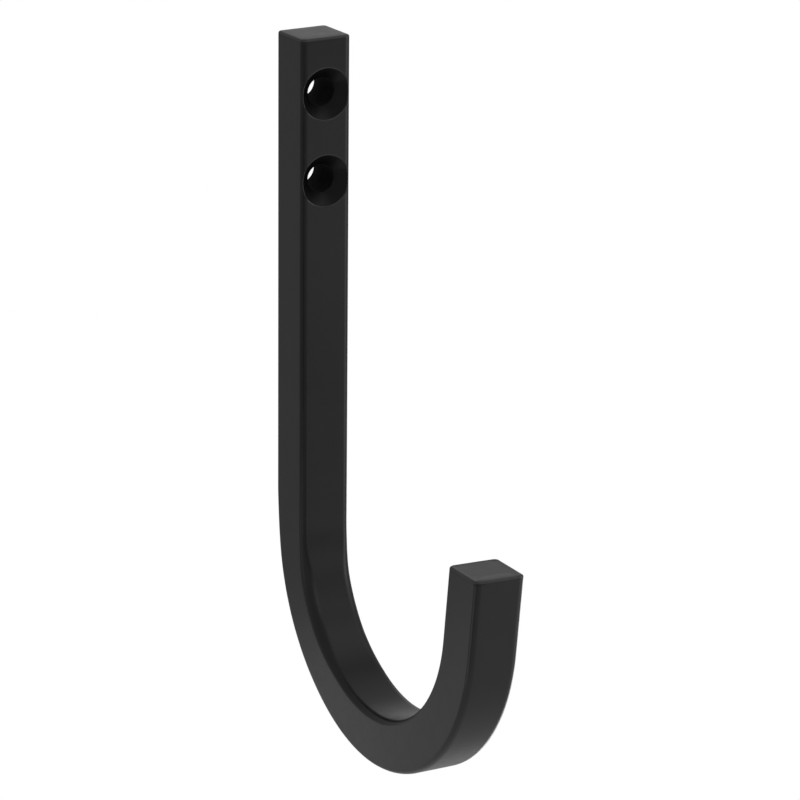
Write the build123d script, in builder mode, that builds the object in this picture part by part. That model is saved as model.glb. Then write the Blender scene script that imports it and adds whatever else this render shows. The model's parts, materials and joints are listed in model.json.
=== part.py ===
"""Multipurpose wall hook: a J bent from square steel bar, held by two countersunk screws.

Frame: X runs across the bar, +Y points into the wall and +Z up. The bar's back lies in the wall
plane Y = 0, and the origin is on that plane, midway between the two screw holes.
Units are millimetres.
"""

import os

from build123d import *

# Bar stock
bar_width = 9.5  # side of the square section, 3/8 in stock
corner_radius = 0.8  # rounding of the four long corners
end_rounding = 0.4  # dressed edges of the two sawn ends, which are both level

# Bends
shank_length = 89.0  # straight back, from the top end to the start of the bend
inner_bend_radius = 25.5  # inside of the J, where the hung thing rests
bend_angle = 172.5  # short of a half turn, so that the tip leans out a little
tip_rise = 10.6  # the tip's level end, above the bend's centre

# Screw holes
screw_hole_diameter = 5.1  # clearance for a 5 mm or no. 10 screw
countersink_diameter = 9.3  # nearly as wide as the bar, so it bites into the rounded corners
countersink_angle = 90.0
hole_spacing = 15.5  # centre to centre
top_margin = 9.8  # top end to the upper hole's centre

# Worked-out places
top_z = hole_spacing / 2 + top_margin
centre_bend_radius = inner_bend_radius + bar_width / 2
tip_z = top_z - shank_length + tip_rise
uncut_tip_length = tip_rise + 2 * bar_width

with BuildPart() as hook:
    # Centreline, in the plane of the J: down the back, round the bend, up the tip
    with BuildLine(Plane.YZ) as centreline:
        shank = Line((-bar_width / 2, top_z), (-bar_width / 2, top_z - shank_length))
        bend = JernArc(
            start=shank @ 1,
            tangent=shank % 1,
            radius=centre_bend_radius,
            arc_size=-bend_angle,
        )
        tip = PolarLine(start=bend @ 1, length=uncut_tip_length, direction=bend % 1)

    # Section, square with rounded corners, at the top end
    top_plane = Plane(origin=centreline.line @ 0, x_dir=(1, 0, 0), z_dir=centreline.line % 0)
    with BuildSketch(top_plane):
        RectangleRounded(bar_width, bar_width, corner_radius)
    sweep()

    # The tip leans, but it is sawn off level
    with Locations((0, (tip @ 1).Y, tip_z)):
        Box(
            3 * bar_width,
            3 * bar_width,
            uncut_tip_length,
            align=(Align.CENTER, Align.CENTER, Align.MIN),
            mode=Mode.SUBTRACT,
        )

    # Dressed edges round the two ends, the only level faces
    fillet(hook.faces().filter_by(Axis.Z).edges(), end_rounding)

    # Screw holes, sunk from the front of the bar
    front_plane = Plane(origin=(0, -bar_width, 0), x_dir=(1, 0, 0), z_dir=(0, -1, 0))
    with Locations(front_plane):
        with GridLocations(0, hole_spacing, 1, 2):
            CounterSinkHole(
                radius=screw_hole_diameter / 2,
                counter_sink_radius=countersink_diameter / 2,
                counter_sink_angle=countersink_angle,
            )

hook.part.label = "hook"

os.makedirs("parts", exist_ok=True)
export_step(hook.part, "parts/hook.step")
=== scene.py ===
"""A J-shaped wall hook of square steel bar in satin black powder coat, in a soft white studio.

Everything is in metres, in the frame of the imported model: X runs across the bar, +Y points into
the wall, +Z up, and the bar's back lies in the plane Y = 0.
"""
import json
import math

import bpy
from mathutils import Matrix, Vector


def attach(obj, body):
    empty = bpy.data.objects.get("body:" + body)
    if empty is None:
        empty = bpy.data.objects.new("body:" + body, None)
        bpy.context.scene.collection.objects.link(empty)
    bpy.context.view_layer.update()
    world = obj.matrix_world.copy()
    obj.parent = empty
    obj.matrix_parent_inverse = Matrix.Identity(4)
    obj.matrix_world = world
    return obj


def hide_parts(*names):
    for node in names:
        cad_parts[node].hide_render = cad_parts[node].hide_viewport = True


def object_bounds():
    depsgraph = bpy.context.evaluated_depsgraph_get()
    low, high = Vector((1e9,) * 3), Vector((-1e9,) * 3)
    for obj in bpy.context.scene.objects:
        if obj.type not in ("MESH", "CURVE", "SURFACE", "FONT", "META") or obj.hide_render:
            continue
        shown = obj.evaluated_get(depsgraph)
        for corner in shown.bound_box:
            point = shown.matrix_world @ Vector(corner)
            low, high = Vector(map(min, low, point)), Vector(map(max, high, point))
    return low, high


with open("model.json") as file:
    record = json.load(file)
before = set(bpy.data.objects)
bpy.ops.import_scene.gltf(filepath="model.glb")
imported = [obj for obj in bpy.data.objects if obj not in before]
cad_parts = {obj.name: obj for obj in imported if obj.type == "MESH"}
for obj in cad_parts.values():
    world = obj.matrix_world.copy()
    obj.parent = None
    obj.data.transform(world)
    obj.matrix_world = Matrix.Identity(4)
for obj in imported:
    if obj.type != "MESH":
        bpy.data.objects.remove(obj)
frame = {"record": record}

MM = 0.001
NEAR = 0.01 * MM                       # places closer together than this are the same

# The bar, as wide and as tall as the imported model
cad_low, cad_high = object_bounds()
bar = cad_high.x - cad_low.x
top_z = cad_high.z
corner_radius = 0.8 * MM
front_reach = 0.35 * MM                # the front corners' rounding runs this much further across
tip_reach = 0.4 * MM                   # and so does that of the tip's outer corners
corner_segments = 12
flat_cuts = 5                          # each flat side is cut into six strips

# The two sawn ends
end_rounding = 0.4 * MM
end_segments = 4
end_crown = 0.08 * MM                  # the top end swells a little
tip_lip = 0.07 * MM                    # the tip's end has a slight lip along its outer edge
tip_lip_width = 1 * MM
top_tilt = math.radians(1.5)           # the saw left the top end higher at the front
tip_tilt = math.radians(1.6)           # and the tip's end lower on the right
end_rings = 3                          # close rings near the ends let the coat's ripple show there
end_ring_spacing = 1 * MM
# The rings on an end face: each one's size next to the last, and its share of the crown's rise
face_rings = ((0.8, 0.5), (0.75, 0.3), (0.67, 0.15), (0.5, 0.05))

# The bend and the tip that follows it
inner_radius = 25.5 * MM
bend_angle = math.radians(172.5)
bend_steps = 115
tip_rise = 10.6 * MM                   # the tip's level end, above the bend's centre
centre_radius = inner_radius + bar / 2
bend_centre = Vector((0, -bar - inner_radius, cad_low.z + bar + inner_radius))
tip_z = bend_centre.z + tip_rise
tip_lean = math.pi - bend_angle
tip_direction = Vector((0, -math.sin(tip_lean), math.cos(tip_lean)))
tip_outward = Vector((0, -math.cos(tip_lean), -math.sin(tip_lean)))
bend_end = bend_centre + centre_radius * tip_outward
tip_centre = bend_end + (tip_z - bend_end.z) / tip_direction.z * tip_direction
top_centre = Vector((0, -bar / 2, top_z))

# Bending wears the bar's corners rounder: their radius at places along the centreline, counted
# from the start of the bend
worn_radii = {
    "outer": (
        (-6 * MM, corner_radius),
        (4 * MM, 1.5 * MM),
        (26 * MM, 1.5 * MM),
        (50 * MM, corner_radius),
    ),
    "inner": (
        (2 * MM, corner_radius),
        (12 * MM, 1.6 * MM),
        (22 * MM, 1.6 * MM),
        (34 * MM, 1.1 * MM),
        (52 * MM, 1.1 * MM),
        (62 * MM, corner_radius),
    ),
}
tip_reach_grows = (30 * MM, 52 * MM)   # where the tip's wider rounding begins and is whole
least_growth = 1.01                    # a corner that grows less than this is left alone
lead_in_rings = 8                      # rings above the bend
lead_in_spacing = 1 * MM

# The countersunk screw holes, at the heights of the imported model's mounts
bore_radius = 2.55 * MM
countersink_radius = 4.65 * MM
drill_sides = 96
rim_rounding = 0.12 * MM
rim_segments = 3
bore_end_rounding = 0.03 * MM
bore_end_segments = 2
hole_heights = [m["pos_m"][2] for m in frame["record"]["mounts"] if m["kind"] == "bore"]
hole_zone_low = min(hole_heights) - bar / 2
hole_zone_high = max(hole_heights) + bar / 2

# The powder coat, and its places among the hook's materials
coat_ior = 1.5
ripple_height = 0.015 * MM
ripple_size = 2.5 * MM
shade_size = 6 * MM                    # slow changes of its grey
gloss_size = 1.5 * MM                  # and of its gloss
peel_size = 0.3 * MM                   # its orange peel
peel_height = 0.01 * MM
peel_strength = 0.25
noise_middle = (0.3, 0.7)              # most of the noise lies between these
# The countersink and bore places get darker greys as painted shade, and the end-edge and rim places
# lighter greys as painted highlights
OUTSIDE, END_EDGE_HIGHLIGHT, COUNTERSINK_SHADE, BORE_SHADE, RIM_HIGHLIGHT = range(5)

# The camera, as a least-squares fit placed it; its lens and film are in millimetres
camera_azimuth = math.radians(-29.05)
camera_elevation = math.radians(17.99)
camera_roll = math.radians(0.53)
camera_distance = 0.81005
camera_lens = 206.53
camera_film = 36
camera_clip_start = 0.01
camera_aim = Vector((0.01217, -0.01469, -0.04802))

# The room
floor_width = 8
floor_drop = 0.2                       # the floor is this far below the hook
fill_strength = 0.272

# The softboxes: the way each one lies from the hook (azimuth from its front, elevation, in
# degrees), how far off it hangs, how wide it is and how strong. A least-squares fit worked out
# these strengths and those of the sheet, the back and bend cards and the fill, and picked some
# of the places.
lights_centre = Vector((0, -0.035, -0.045))    # the middle of the hook
softboxes = {
    "low_behind_box": (152, -12, 0.9, 0.5, 0.122),
    "back_box": (145, 14, 0.9, 0.5, 0.15),
    "high_back_box": (138, 50, 0.9, 0.5, 0.084),
    "high_right_box": (79, 42, 0.9, 0.5, 0.184),
    "right_box": (61, 15, 0.9, 0.5, 0.382),
    "low_right_box": (55, -5, 0.9, 0.5, 0.503),
    "top_box": (56, 62, 0.9, 0.5, 0.132),
    "high_front_box": (40, 45, 0.9, 0.5, 0.116),
    "front_box": (10, 30, 0.9, 0.5, 0.3),
    "low_front_box": (45, -28, 0.9, 0.5, 0.097),
    "front_card": (33, -6, 0.17, 0.06, 0.0025),
    "low_right_card": (61, -30, 0.28, 0.16, 0.0173),
    "low_back_box": (121, -35, 0.9, 0.5, 1.285),
}

# A black flag that the hook's left front edge mirrors as a dark line; its angles are in degrees
flag_azimuth = -30
flag_elevation = -18
flag_distance = 0.6
flag_width = 0.24

# The white sheet under the hook, which throws light up
sheet_drop = 60 * MM
sheet_place = Vector((0.05, -0.04, cad_low.z - sheet_drop))
sheet_width = 0.3
sheet_depth = 0.4
sheet_strength = 0.0705

# Small cards close on the hook's left side, facing it: y, z and strength
card_width = 40 * MM
cards_x = -50 * MM
left_cards = {
    "back_card": (0.06, -0.14, 0.0013),
    "bend_card": (-0.02, -0.10, 0.001),
    "tip_card": (-0.08, -0.10, 0.002),
}


# --- Working in edit mode ---

def edit():
    bpy.ops.object.mode_set(mode="EDIT")


def done():
    bpy.ops.object.mode_set(mode="OBJECT")


def choose(piece, kind, wanted):
    """In edit mode, selects only the vertices, edges or polygons that answer wanted(item)."""
    mode = {"vertices": "VERT", "edges": "EDGE", "polygons": "FACE"}[kind]
    edit()
    bpy.ops.mesh.select_mode(type=mode)
    bpy.ops.mesh.select_all(action="DESELECT")
    done()
    for item in getattr(piece.data, kind):
        item.select = wanted(item)
    edit()


def corners(piece, item):
    """The places of an edge's or a face's vertices."""
    return [piece.data.vertices[v].co for v in item.vertices]


def draw_out(step):
    """Extrudes the selected faces by this step."""
    bpy.ops.mesh.extrude_region_move(TRANSFORM_OT_translate={"value": step})


def apply_modifier(piece, kind, **settings):
    """Adds one modifier with these settings and applies it."""
    modifier = piece.modifiers.new(kind.title(), kind)
    for name, value in settings.items():
        setattr(modifier, name, value)
    bpy.context.view_layer.objects.active = piece
    bpy.ops.object.modifier_apply(modifier=modifier.name)


# --- The hook ---

def widen_rounding(piece, reach, at_corner):
    """Draws the rounded corners that answer at_corner(place) further across the bar."""
    widening = 1 + reach / corner_radius
    for hand in (-1, 1):

        def on_this_hand(vertex):
            near_side = vertex.co.x * hand > bar / 2 - corner_radius - NEAR
            return near_side and at_corner(vertex.co)

        choose(piece, "vertices", on_this_hand)
        bpy.ops.transform.resize(value=(widening, 1, 1), center_override=(hand * bar / 2, 0, 0))


def bar_section():
    """The bar's rounded square section, lying at its top end, its flat sides cut into strips."""
    bpy.ops.object.select_all(action="DESELECT")
    bpy.ops.mesh.primitive_plane_add(size=bar, location=top_centre)
    piece = bpy.context.object
    bpy.ops.object.transform_apply(location=True, rotation=True, scale=True)
    edit()
    bpy.ops.mesh.select_mode(type="VERT")
    bpy.ops.mesh.select_all(action="SELECT")
    bpy.ops.mesh.bevel(offset=corner_radius, segments=corner_segments, affect="VERTICES")
    widen_rounding(piece, front_reach, lambda place: place.y < -bar / 2)

    def flat_side(edge):
        start, end = corners(piece, edge)
        return (start - end).length > bar / 2

    choose(piece, "edges", flat_side)
    bpy.ops.mesh.subdivide(number_cuts=flat_cuts)
    done()
    return piece


def draw_bar(piece):
    """The straight shank, the round bend and the leaning tip, drawn out from the section.

    The tip's end is level, so the section is turned level before the last rings are drawn.
    """
    down = Vector((0, 0, -1))
    choose(piece, "polygons", lambda face: True)
    for _ in range(end_rings):
        draw_out(down * end_ring_spacing)
    drawn_to = top_z - end_rings * end_ring_spacing
    lead_in_height = bend_centre.z + lead_in_rings * lead_in_spacing
    for height in (hole_zone_high, hole_zone_low, lead_in_height):
        draw_out(down * (drawn_to - height))
        drawn_to = height
    for _ in range(lead_in_rings):
        draw_out(down * lead_in_spacing)
    bpy.ops.mesh.spin(steps=bend_steps, angle=bend_angle, center=bend_centre, axis=(1, 0, 0))
    level_from = tip_centre - tip_direction * end_rings * end_ring_spacing
    draw_out(level_from - bend_end)
    bpy.ops.transform.rotate(value=tip_lean, orient_axis="X", center_override=level_from)
    bpy.ops.transform.resize(value=(1, 1 / math.cos(tip_lean), 1), center_override=level_from)
    for _ in range(end_rings):
        draw_out(tip_direction * end_ring_spacing)
    bpy.ops.mesh.select_all(action="SELECT")
    bpy.ops.mesh.remove_doubles(threshold=NEAR)
    bpy.ops.mesh.normals_make_consistent(inside=False)
    done()


def eased(start, end, value):
    """Rises smoothly from 0 at start to 1 at end."""
    part = min(max((value - start) / (end - start), 0), 1)
    return part * part * (3 - 2 * part)


def bend_rings():
    """For each ring of the lead-in and the bend: how far along it is, its centre, and the way
    out of the bend there."""
    for ring in range(lead_in_rings):
        height = (lead_in_rings - ring) * lead_in_spacing
        yield -height, Vector((0, -bar / 2, bend_centre.z + height)), Vector((0, 1, 0))
    for ring in range(bend_steps):
        turned = bend_angle * ring / bend_steps
        outward = Vector((0, math.cos(turned), -math.sin(turned)))
        yield centre_radius * turned, bend_centre + centre_radius * outward, outward


def worn_radius(side, along):
    """The radius of the inner or the outer corners this far along the bend."""
    radius = corner_radius
    stations = worn_radii[side]
    for (start, before), (end, after) in zip(stations, stations[1:]):
        radius += (after - before) * eased(start, end, along)
    return radius


def on_tip_outside(place):
    """True beyond the bend's end, on the outer half of the tip."""
    away = place - bend_end
    past_bend = away.dot(tip_direction) > -NEAR and place.y < bend_centre.y
    return past_bend and away.dot(tip_outward) > 0


def wear_corners(piece):
    """Makes the four corners rounder ring by ring, each arc scaled about the sharp corner, and
    widens the rounding of the outer ones towards the tip."""
    for along, centre, outward in bend_rings():
        onward = outward.cross(Vector((1, 0, 0)))
        for side, away_from_bend in (("outer", outward), ("inner", -outward)):
            radius = worn_radius(side, along)
            if side == "inner":
                drawn_reach = reach = front_reach
            else:
                drawn_reach = 0
                reach = tip_reach * eased(*tip_reach_grows, along)
            growth = radius / corner_radius
            growth_across = (radius + reach) / (corner_radius + drawn_reach)
            if max(growth, growth_across) < least_growth:
                continue
            for hand in (-1, 1):
                sharp_corner = centre + bar / 2 * (away_from_bend + Vector((hand, 0, 0)))

                def on_arc(vertex):
                    away = vertex.co - sharp_corner
                    across = -away.x * hand
                    inwards = -away.dot(away_from_bend)
                    near_side = -NEAR < across < corner_radius + drawn_reach + NEAR
                    near_face = -NEAR < inwards < corner_radius + NEAR
                    return near_side and near_face and abs(away.dot(onward)) < NEAR

                choose(piece, "vertices", on_arc)
                bpy.ops.transform.resize(
                    value=(growth_across, growth, growth),
                    center_override=sharp_corner,
                )
    widen_rounding(piece, tip_reach, on_tip_outside)
    done()


def at_an_end(place):
    """True on the top end or on the tip's end, which is level too."""
    on_top = place.z > top_z - NEAR
    on_tip = abs(place.z - tip_z) < NEAR and place.y < bend_centre.y
    return on_top or on_tip


def round_ends(piece):
    """Breaks the sharp edges round both end faces, rings the faces so that they can ripple, and
    raises the top one to a slight crown."""
    choose(piece, "edges", lambda edge: all(map(at_an_end, corners(piece, edge))))
    # The end edges' rounding takes the lighter grey: a painted highlight.
    bpy.ops.mesh.bevel(
        offset=end_rounding, segments=end_segments, affect="EDGES", material=END_EDGE_HIGHLIGHT
    )
    for centre, rise in ((top_centre, end_crown), (tip_centre, 0)):

        def is_end_face(face):
            return (face.center - centre).length < MM and all(map(at_an_end, corners(piece, face)))

        choose(piece, "polygons", is_end_face)
        for shrink, share in face_rings:
            draw_out((0, 0, rise * share))
            bpy.ops.transform.resize(value=(shrink, shrink, shrink), center_override=centre)
        done()
    # Level faces of that rounding go back to the outside coat, without the painted highlight.
    for face in piece.data.polygons:
        nearly_level = face.normal.z > 0.99
        if face.material_index == END_EDGE_HIGHLIGHT and nearly_level:
            face.material_index = OUTSIDE


def shape_ends(piece):
    """Raises a slight lip along the outer edge of the tip's end, then tilts both ends as sawn."""
    lip_inside = tip_centre.y - bar / 2 + end_rounding + tip_lip_width

    def inside_lip(vertex):
        return abs(vertex.co.z - tip_z) < NEAR and lip_inside < vertex.co.y < bend_centre.y

    choose(piece, "vertices", inside_lip)
    bpy.ops.transform.translate(value=(0, 0, -tip_lip))
    for centre, axis, tilt, pivot in (
        (top_centre, "X", top_tilt, Vector((0, 0, top_z))),
        (tip_centre, "Y", -tip_tilt, tip_centre - Vector((bar / 2, 0, 0))),
    ):

        def at_this_end(vertex):
            lowest = centre.z - end_rounding - NEAR
            return (vertex.co - centre).length < bar and vertex.co.z > lowest

        choose(piece, "vertices", at_this_end)
        bpy.ops.transform.rotate(value=tilt, orient_axis=axis, center_override=pivot)
    done()


def clear_hole_faces(piece):
    """Makes the flats that the screw holes pass through one face each, for clean rims."""
    flat_edge = bar / 2 - corner_radius - front_reach

    def strip_line(edge):
        start, end = corners(piece, edge)
        on_flat = any(abs(start.y - y) < NEAR and abs(end.y - y) < NEAR for y in (0, -bar))
        upright = abs(start.x - end.x) < NEAR and abs(start.x) < flat_edge - NEAR
        lowest, highest = sorted((start.z, end.z))
        in_zone = lowest > hole_zone_low - NEAR and highest < hole_zone_high + NEAR
        return on_flat and upright and in_zone

    choose(piece, "edges", strip_line)
    bpy.ops.mesh.dissolve_edges(use_verts=False)
    done()


def screw_hole_cutter(height):
    """A drill with a 90 degree countersink, pointing into the wall."""
    overshoot = 1 * MM
    flare = countersink_radius - bore_radius + overshoot
    drill_length = bar + 2 * overshoot - flare
    flare_y = overshoot - drill_length
    bpy.ops.object.select_all(action="DESELECT")
    bpy.ops.mesh.primitive_cylinder_add(
        vertices=drill_sides,
        radius=bore_radius,
        depth=drill_length,
        rotation=(math.radians(90), 0, 0),
        location=(0, overshoot - drill_length / 2, height),
    )
    cutter = bpy.context.object
    bpy.ops.object.transform_apply(location=True, rotation=True, scale=True)
    choose(cutter, "polygons", lambda face: face.center.y < flare_y + NEAR)
    draw_out((0, -flare, 0))
    widen = (bore_radius + flare) / bore_radius
    bpy.ops.transform.resize(value=(widen, 1, widen), center_override=(0, flare_y - flare, height))
    done()
    # The drill's walls carry the near-black greys into the holes: painted shade in the bore and the
    # countersink.
    for face in cutter.data.polygons:
        is_drill_wall = abs(face.normal.y) < 0.1
        face.material_index = BORE_SHADE if is_drill_wall else COUNTERSINK_SHADE
    return cutter


def drill_screw_holes(piece, coat_and_painted_light):
    for height in hole_heights:
        cutter = screw_hole_cutter(height)
        for hook_material in coat_and_painted_light:
            cutter.data.materials.append(hook_material)
        apply_modifier(piece, "BOOLEAN", operation="DIFFERENCE", solver="EXACT", object=cutter)
        bpy.data.objects.remove(cutter)


def round_hole_rims(piece):
    """Rounds the edges where the countersinks break out of the front, and the bores' two ends."""
    rim_limit = -bar + corner_radius
    bore_mouth = -bar + countersink_radius - bore_radius

    def from_axis(place):
        return min(math.hypot(place.x, place.z - height) for height in hole_heights)

    def on_rim(place):
        on_cone = abs(from_axis(place) + place.y + bar - countersink_radius) < NEAR
        return on_cone and place.y < rim_limit

    def on_bore(place):
        return abs(from_axis(place) - bore_radius) < NEAR

    def short(edge):
        start, end = corners(piece, edge)
        return (start - end).length < bore_radius

    choose(piece, "edges", lambda edge: short(edge) and all(map(on_rim, corners(piece, edge))))
    # The rims' rounding takes the lighter grey: a painted highlight.
    bpy.ops.mesh.bevel(offset=rim_rounding, segments=rim_segments, affect="EDGES", material=RIM_HIGHLIGHT)
    for depth in (bore_mouth, 0):

        def on_bore_end(edge):
            return all(on_bore(v) and abs(v.y - depth) < NEAR for v in corners(piece, edge))

        choose(piece, "edges", on_bore_end)
        bpy.ops.mesh.bevel(
            offset=bore_end_rounding, segments=bore_end_segments, affect="EDGES"
        )
    done()


def ripple_coat(piece):
    """The slight unevenness of a sprayed and baked coat, seen where edges catch the light."""
    ripple = bpy.data.textures.new("coat_ripple", "CLOUDS")
    ripple.noise_scale = ripple_size
    ripple.noise_depth = 1
    apply_modifier(piece, "DISPLACE", texture=ripple, strength=ripple_height, mid_level=0.5)


def make_hook(coat_and_painted_light):
    piece = bar_section()
    piece.name = "hook_body"
    for hook_material in coat_and_painted_light:
        piece.data.materials.append(hook_material)
    draw_bar(piece)
    wear_corners(piece)
    round_ends(piece)
    shape_ends(piece)
    clear_hole_faces(piece)
    drill_screw_holes(piece, coat_and_painted_light)
    round_hole_rims(piece)
    ripple_coat(piece)
    bpy.ops.object.select_all(action="DESELECT")
    piece.select_set(True)
    bpy.ops.object.shade_smooth()
    apply_modifier(piece, "WEIGHTED_NORMAL", mode="FACE_AREA", weight=50)
    return piece


# --- The coat, with painted shade and painted highlights ---

def powder_coat(name, tones, roughness, shine):
    """Satin black powder coat: near black, softly glossy, with a very fine orange-peel texture.

    Its grey and its roughness each wander slowly between two values. Greys given darker than the
    outside's are painted shade, lighter ones painted highlights.
    """
    material = bpy.data.materials.new(name)
    material.use_nodes = True
    nodes, links = material.node_tree.nodes, material.node_tree.links
    shader = nodes["Principled BSDF"]
    shader.inputs["IOR"].default_value = coat_ior
    shader.inputs["Specular IOR Level"].default_value = shine
    place = nodes.new("ShaderNodeTexCoord").outputs["Object"]

    def noise(size, detail):
        """Fractal noise whose bumps are about this size."""
        texture = nodes.new("ShaderNodeTexNoise")
        texture.inputs["Scale"].default_value = 1 / size
        texture.inputs["Detail"].default_value = detail
        links.new(place, texture.inputs["Vector"])
        return texture.outputs["Fac"]

    def spread(source, low, high):
        """Stretches the noise's middle range to run from low to high."""
        stretch = nodes.new("ShaderNodeMapRange")
        stretch.inputs["From Min"].default_value = noise_middle[0]
        stretch.inputs["From Max"].default_value = noise_middle[1]
        stretch.inputs["To Min"].default_value = low
        stretch.inputs["To Max"].default_value = high
        links.new(source, stretch.inputs["Value"])
        return stretch.outputs["Result"]

    tone = nodes.new("ShaderNodeCombineColor")
    grey = spread(noise(shade_size, 2), *tones)
    for channel in tone.inputs:
        links.new(grey, channel)
    links.new(tone.outputs["Color"], shader.inputs["Base Color"])
    links.new(spread(noise(gloss_size, 3), *roughness), shader.inputs["Roughness"])

    peel = nodes.new("ShaderNodeBump")
    peel.inputs["Strength"].default_value = peel_strength
    peel.inputs["Distance"].default_value = peel_height
    links.new(noise(peel_size, 2), peel.inputs["Height"])
    links.new(peel.outputs["Normal"], shader.inputs["Normal"])
    return material


# --- The studio ---

def add_camera():
    camera = bpy.data.objects.new("camera", bpy.data.cameras.new("camera"))
    bpy.context.scene.collection.objects.link(camera)
    turn = (
        Matrix.Rotation(camera_azimuth, 4, "Z")
        @ Matrix.Rotation(math.radians(90) - camera_elevation, 4, "X")
        @ Matrix.Rotation(camera_roll, 4, "Z")
    )
    back_off = Matrix.Translation((0, 0, camera_distance))
    camera.matrix_world = Matrix.Translation(camera_aim) @ turn @ back_off
    camera.data.lens = camera_lens
    camera.data.sensor_width = camera_film
    camera.data.clip_start = camera_clip_start
    bpy.context.scene.camera = camera


def glow(name, colour, strength):
    material = bpy.data.materials.new(name)
    material.use_nodes = True
    nodes = material.node_tree.nodes
    nodes.remove(nodes["Principled BSDF"])
    emission = nodes.new("ShaderNodeEmission")
    emission.inputs["Color"].default_value = colour
    emission.inputs["Strength"].default_value = strength
    material.node_tree.links.new(emission.outputs[0], nodes["Material Output"].inputs["Surface"])
    return material


def add_floor():
    """A plain white floor, far enough below to take no shadow."""
    bpy.ops.object.select_all(action="DESELECT")
    bpy.ops.mesh.primitive_plane_add(size=floor_width, location=(0, 0, cad_low.z - floor_drop))
    floor = bpy.context.object
    floor.name = "floor"
    floor.data.materials.append(glow("white_floor", (1, 1, 1, 1), 1.0))
    floor.visible_diffuse = False
    floor.visible_glossy = False


def add_light(name, shape, width, depth, strength, place, turn):
    """One soft area light, which the camera itself doesn't see."""
    light = bpy.data.lights.new(name, "AREA")
    light.shape = shape
    light.size = width
    light.size_y = depth
    light.energy = strength
    lamp = bpy.data.objects.new(name, light)
    bpy.context.scene.collection.objects.link(lamp)
    lamp.location = place
    lamp.rotation_euler = turn.to_euler()
    lamp.visible_camera = False


def way_to(azimuth, elevation):
    """The way that lies at this azimuth from the hook's front and at this elevation, in degrees."""
    around = math.radians(azimuth)
    up = math.radians(elevation)
    return Vector((math.sin(around) * math.cos(up), -math.cos(around) * math.cos(up), math.sin(up)))


def add_flag():
    """A black sheet that faces the hook, out of the camera's sight."""
    way = way_to(flag_azimuth, flag_elevation)
    bpy.ops.object.select_all(action="DESELECT")
    bpy.ops.mesh.primitive_plane_add(
        size=flag_width,
        location=lights_centre + flag_distance * way,
        rotation=way.to_track_quat("Z", "Y").to_euler(),
    )
    flag = bpy.context.object
    flag.name = "front_left_flag"
    flag.data.materials.append(glow("flag_black", (0, 0, 0, 1), 0))
    flag.visible_camera = False


def add_lights():
    for name, (azimuth, elevation, distance, width, strength) in softboxes.items():
        way = way_to(azimuth, elevation)
        place = lights_centre + distance * way
        add_light(name, "DISK", width, width, strength, place, way.to_track_quat("Z", "Y"))
    upwards = Matrix.Rotation(math.pi, 4, "X").to_quaternion()
    add_light(
        "table_sheet", "RECTANGLE", sheet_width, sheet_depth, sheet_strength, sheet_place, upwards
    )
    rightwards = Vector((-1, 0, 0)).to_track_quat("Z", "Y")
    for name, (y, z, strength) in left_cards.items():
        place = Vector((cards_x, y, z))
        add_light(name, "DISK", card_width, card_width, strength, place, rightwards)


def add_world():
    """White to the camera, and a soft even fill for the hook."""
    world = bpy.data.worlds.new("studio")
    bpy.context.scene.world = world
    world.use_nodes = True
    nodes, links = world.node_tree.nodes, world.node_tree.links
    seen = nodes["Background"]
    seen.inputs["Color"].default_value = (1, 1, 1, 1)
    seen.inputs["Strength"].default_value = 1.0
    fill = nodes.new("ShaderNodeBackground")
    fill.name = "fill"
    fill.inputs["Color"].default_value = (1, 1, 1, 1)
    fill.inputs["Strength"].default_value = fill_strength
    either = nodes.new("ShaderNodeMixShader")
    links.new(nodes.new("ShaderNodeLightPath").outputs["Is Camera Ray"], either.inputs["Fac"])
    links.new(fill.outputs[0], either.inputs[1])
    links.new(seen.outputs[0], either.inputs[2])
    links.new(either.outputs[0], nodes["World Output"].inputs["Surface"])


# The real hook has one coat. It is adjusted here to the look of each place: the near-black greys in
# the countersinks and bores are painted shade, and the lighter greys on the end edges and hole rims
# are painted highlights. Each entry gives its name, its two greys, its two roughnesses and its
# shine.
coat_and_painted_light = {
    OUTSIDE: powder_coat("coat_outside", (0.011, 0.014), (0.28, 0.32), 0.5),
    END_EDGE_HIGHLIGHT: powder_coat("coat_on_end_edge_painted_highlight", (0.05, 0.08), (0.28, 0.32), 0.5),
    COUNTERSINK_SHADE: powder_coat("coat_in_countersink_painted_shade", (0.001, 0.002), (0.33, 0.38), 0.35),
    BORE_SHADE: powder_coat("coat_in_bore_painted_shade", (0.001, 0.002), (0.9, 1.0), 0.5),
    RIM_HIGHLIGHT: powder_coat("coat_on_rim_painted_highlight", (0.03, 0.05), (0.22, 0.28), 0.5),
}
hook = make_hook(coat_and_painted_light.values())
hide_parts("hook")
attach(hook, "root")

add_floor()
add_flag()
add_lights()
add_world()
add_camera()
bpy.context.scene.view_settings.view_transform = "Standard"
